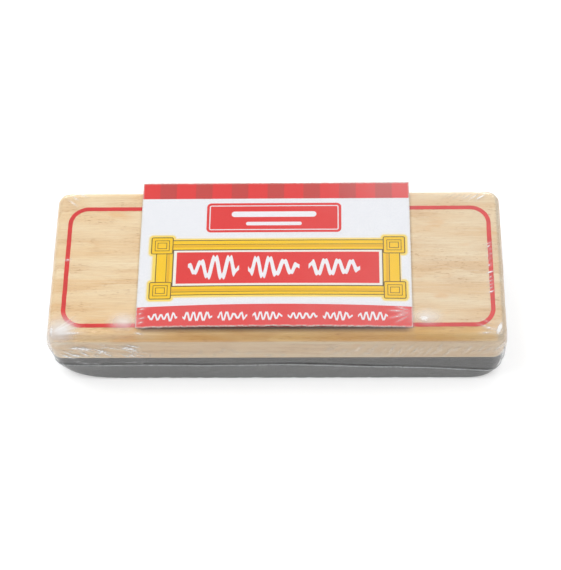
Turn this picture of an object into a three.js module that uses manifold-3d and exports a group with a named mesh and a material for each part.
// A felt chalkboard eraser in its shop wrap: a pine block with a printed border line, a felt pad
// glued under it, a label card on top, and a clear film shrunk tight round them all.
// Millimetres, +Z up, length along X. The origin is the centre of the face that it rests on.
import * as THREE from "three";
import { ConvexGeometry } from "three/addons/geometries/ConvexGeometry.js";
import { mergeVertices, toCreasedNormals } from "three/addons/utils/BufferGeometryUtils.js";
import Module from "manifold-3d";

const wasm = await Module();
wasm.setup();

// Pine block
const BLOCK_LENGTH = 152;
const BLOCK_WIDTH = 58;
const BLOCK_THICKNESS = 13.6;
const BLOCK_CORNER_RADIUS = 4; // in plan
const BLOCK_ROUNDOVER = 2.4; // of the top edge
const BLOCK_ARRIS = 0.4; // softened bottom edge

// Felt pad, cut to the block's outline
const FELT_THICKNESS = 14.4;
const FELT_SQUEEZE = 6; // what the film adds to the plan corner radius at the bottom
const FELT_INSET = 0.2; // the pad is trimmed just inside the block

// Glue line between them
const GLUE_THICKNESS = 0.2;
const GLUE_INSET = 1.5;

// Printed border line, which isn't quite central on the block
const BORDER_END_MARGIN = 4.6; // from the block's ends to the middle of the line
const BORDER_SIDE_MARGIN = 6.2; // from its long sides
const BORDER_FORWARD = 1.05;
const BORDER_SHIFT = 0.4; // along the block
const BORDER_LINE = 1.5;
const BORDER_CORNER_RADIUS = 6.2; // of the middle of the line
const INK_THICKNESS = 0.1;

// Label card
const CARD_WIDTH = 91.6; // along the block
const CARD_DEPTH = 57;
const CARD_THICKNESS = 0.5;
const CARD_ARCH = 1.2; // rise of its front edge in the middle, while the corners are held down
const CARD_OVERHANG = 2.7; // past the block's back edge
const CARD_SHIFT = -0.7; // along the block

// Film
const FILM_THICKNESS = 0.1;
const FILM_GAP = 0.3;
const VENT_RADIUS = 1.5;
const VENT_SPACING = 100;

const CONTACT_GAP = 0.1; // between flat faces that meet
const ARC_STEPS = 6; // half the curve divisions in each plan corner
const PROFILE_STEPS = 6;
const ARCH_STEPS = 14;
const CREASE = Math.PI / 5;

// Heights of each piece's lower face
const FELT_Z = FILM_THICKNESS + FILM_GAP;
const GLUE_Z = FELT_Z + FELT_THICKNESS + CONTACT_GAP;
const BLOCK_Z = GLUE_Z + GLUE_THICKNESS + CONTACT_GAP;
const BLOCK_TOP_Z = BLOCK_Z + BLOCK_THICKNESS;
const INK_Z = BLOCK_TOP_Z + CONTACT_GAP;
const CARD_Z = INK_Z + INK_THICKNESS + CONTACT_GAP;

const CARD_Y = BLOCK_WIDTH / 2 + CARD_OVERHANG - CARD_DEPTH / 2;

const materials = {
  pine: new THREE.MeshStandardMaterial({ color: 0xe6cfa6, roughness: 0.6, metalness: 0 }),
  ink: new THREE.MeshStandardMaterial({ color: 0xcd5350, roughness: 0.5, metalness: 0 }),
  glue: new THREE.MeshStandardMaterial({ color: 0xe8e2cf, roughness: 0.4, metalness: 0 }),
  felt: new THREE.MeshStandardMaterial({ color: 0x6f6f6d, roughness: 1, metalness: 0 }),
  card: new THREE.MeshStandardMaterial({ color: 0xf2f3f5, roughness: 0.45, metalness: 0 }),
  film: new THREE.MeshStandardMaterial({
    color: 0xf4f7f8,
    roughness: 0.1,
    metalness: 0,
    transparent: true,
    opacity: 0.2,
  }),
};

// A rectangle with round corners, as a path that runs anticlockwise.
function roundedRectangle(length, width, radius, path = new THREE.Shape()) {
  const x = length / 2 - radius;
  const y = width / 2 - radius;
  [[x, y], [-x, y], [-x, -y], [x, -y]].forEach(([cx, cy], quarter) => {
    path.absarc(cx, cy, radius, (quarter * Math.PI) / 2, ((quarter + 1) * Math.PI) / 2);
  });
  return path;
}

// A level is {length, width, radius, z}: one horizontal section of a piece.
function sectionPoints({ length, width, radius, z }) {
  const section = roundedRectangle(length, width, radius).getPoints(ARC_STEPS);
  return section.slice(0, -1).map((p) => new THREE.Vector3(p.x, p.y, z));
}

// The closed solid that runs through a stack of levels, lowest first.
function loft(levels) {
  const rings = levels.map(sectionPoints);
  const around = rings[0].length;
  const points = rings.flat();
  const floor = points.push(new THREE.Vector3(0, 0, levels[0].z)) - 1;
  const roof = points.push(new THREE.Vector3(0, 0, levels.at(-1).z)) - 1;
  const faces = [];
  for (let i = 0; i < around; i += 1) {
    const next = (i + 1) % around;
    const top = (rings.length - 1) * around;
    faces.push(floor, next, i);
    faces.push(roof, top + i, top + next);
    for (let ring = 0; ring < top; ring += around) {
      faces.push(ring + i, ring + next, ring + around + next);
      faces.push(ring + i, ring + around + next, ring + around + i);
    }
  }
  return new THREE.BufferGeometry().setFromPoints(points).setIndex(faces);
}

// The levels of a quarter round that ends an edge. Growing it by a margin keeps the same centre.
function quarterRound(section, radius, centreZ, turn, margin) {
  return Array.from({ length: PROFILE_STEPS + 1 }, (_, step) => {
    const angle = (step / PROFILE_STEPS) * (Math.PI / 2);
    const inset = radius - (radius + margin) * Math.cos(angle);
    return {
      length: section.length - 2 * inset,
      width: section.width - 2 * inset,
      radius: section.radius - inset,
      z: centreZ + turn * (radius + margin) * Math.sin(angle),
    };
  });
}

function blockLevels(margin = 0) {
  const section = { length: BLOCK_LENGTH, width: BLOCK_WIDTH, radius: BLOCK_CORNER_RADIUS };
  const bottom = quarterRound(section, BLOCK_ARRIS, BLOCK_Z + BLOCK_ARRIS, -1, margin);
  const top = quarterRound(section, BLOCK_ROUNDOVER, BLOCK_TOP_Z - BLOCK_ROUNDOVER, 1, margin);
  return [...bottom.reverse(), ...top];
}

// The pad's plan corners grow rounder towards the bottom, along a quarter of an ellipse.
function feltLevels(margin = 0) {
  return Array.from({ length: PROFILE_STEPS + 1 }, (_, step) => {
    const angle = (step / PROFILE_STEPS) * (Math.PI / 2);
    const squeeze = FELT_SQUEEZE * (1 - Math.sin(angle));
    return {
      length: BLOCK_LENGTH - 2 * FELT_INSET + 2 * margin,
      width: BLOCK_WIDTH - 2 * FELT_INSET + 2 * margin,
      radius: BLOCK_CORNER_RADIUS - FELT_INSET + squeeze + margin,
      z: FELT_Z - margin + (1 - Math.cos(angle)) * (FELT_THICKNESS + margin),
    };
  });
}

function glueLevels() {
  const section = {
    length: BLOCK_LENGTH - 2 * GLUE_INSET,
    width: BLOCK_WIDTH - 2 * GLUE_INSET,
    radius: BLOCK_CORNER_RADIUS - GLUE_INSET,
  };
  return [GLUE_Z, GLUE_Z + GLUE_THICKNESS].map((z) => ({ ...section, z }));
}

// How far the card arches up at a point of its own plan: flat at the back, highest at the front.
function archHeight(x, y) {
  const across = Math.max(0, 1 - ((2 * x) / CARD_WIDTH) ** 2);
  const forward = 0.5 - y / CARD_DEPTH;
  return CARD_ARCH * across * forward ** 2;
}

function cardGeometry() {
  const sides = [CARD_WIDTH, CARD_DEPTH, CARD_THICKNESS];
  const card = new THREE.BoxGeometry(...sides, ARCH_STEPS, ARCH_STEPS, 1);
  const corner = card.getAttribute("position");
  for (let i = 0; i < corner.count; i += 1) {
    corner.setZ(i, corner.getZ(i) + archHeight(corner.getX(i), corner.getY(i)));
  }
  return card.translate(CARD_SHIFT, CARD_Y, CARD_Z + CARD_THICKNESS / 2);
}

// What a taut film touches of the card: its arched front edge and its back corners.
function cardContacts(margin) {
  const side = CARD_WIDTH / 2 + margin;
  const front = -CARD_DEPTH / 2 - margin;
  const top = CARD_Z + CARD_THICKNESS + margin;
  const place = (x, y, z) => new THREE.Vector3(CARD_SHIFT + x, CARD_Y + y, z);
  const arch = Array.from({ length: ARCH_STEPS + 1 }, (_, step) => {
    const x = side * ((2 * step) / ARCH_STEPS - 1);
    return place(x, front, top + archHeight(x, front));
  });
  return [...arch, place(-side, -front, top), place(side, -front, top)];
}

// The ink line: one rounded rectangle with another cut out of it.
function borderGeometry() {
  const length = BLOCK_LENGTH - 2 * BORDER_END_MARGIN;
  const width = BLOCK_WIDTH - 2 * BORDER_SIDE_MARGIN;
  const outer = [length + BORDER_LINE, width + BORDER_LINE, BORDER_CORNER_RADIUS + BORDER_LINE / 2];
  const inner = [length - BORDER_LINE, width - BORDER_LINE, BORDER_CORNER_RADIUS - BORDER_LINE / 2];
  const shape = roundedRectangle(...outer);
  shape.holes.push(roundedRectangle(...inner, new THREE.Path()));
  const settings = { depth: INK_THICKNESS, bevelEnabled: false, curveSegments: ARC_STEPS };
  return new THREE.ExtrudeGeometry(shape, settings);
}

// The taut skin round block, pad and card, standing off them by a margin.
function tautHull(margin) {
  const levels = [...blockLevels(margin), ...feltLevels(margin)];
  return new ConvexGeometry([...levels.flatMap(sectionPoints), ...cardContacts(margin)]);
}

function solidFrom(geometry) {
  const bare = new THREE.BufferGeometry();
  bare.setAttribute("position", geometry.getAttribute("position"));
  bare.setIndex(geometry.index);
  const merged = mergeVertices(bare, 1e-4);
  return new wasm.Manifold(
    new wasm.Mesh({
      numProp: 3,
      vertProperties: merged.getAttribute("position").array,
      triVerts: new Uint32Array(merged.index.array),
    }),
  );
}

function geometryFrom(solid) {
  const { vertProperties, triVerts } = solid.getMesh();
  const geometry = new THREE.BufferGeometry();
  geometry.setAttribute("position", new THREE.BufferAttribute(vertProperties, 3));
  geometry.setIndex(new THREE.BufferAttribute(triVerts, 1));
  return geometry;
}

// The film is hollow, and its vents go through the back wall only.
function filmGeometry() {
  const reach = BLOCK_WIDTH / 2 + CARD_OVERHANG + FILM_GAP + FILM_THICKNESS;
  const vent = new THREE.CylinderGeometry(VENT_RADIUS, VENT_RADIUS, reach, 4 * ARC_STEPS);
  let film = solidFrom(tautHull(FILM_GAP + FILM_THICKNESS)).subtract(solidFrom(tautHull(FILM_GAP)));
  for (const side of [-1, 1]) {
    const place = [(side * VENT_SPACING) / 2, reach / 2 + BLOCK_WIDTH / 4, FELT_Z + FELT_THICKNESS / 2];
    film = film.subtract(solidFrom(vent.clone().translate(...place)));
  }
  return geometryFrom(film);
}

const eraser = new THREE.Group();

function addPiece(name, geometry, material, position = [0, 0, 0]) {
  const mesh = new THREE.Mesh(toCreasedNormals(geometry, CREASE), material);
  mesh.name = name;
  mesh.position.set(...position);
  eraser.add(mesh);
}

addPiece("wood_block", loft(blockLevels()), materials.pine);
addPiece("border_print", borderGeometry(), materials.ink, [BORDER_SHIFT, -BORDER_FORWARD, INK_Z]);
addPiece("adhesive_layer", loft(glueLevels()), materials.glue);
addPiece("felt_pad", loft(feltLevels()), materials.felt);
addPiece("label_card", cardGeometry(), materials.card);
addPiece("shrink_film", filmGeometry(), materials.film);

export default eraser;
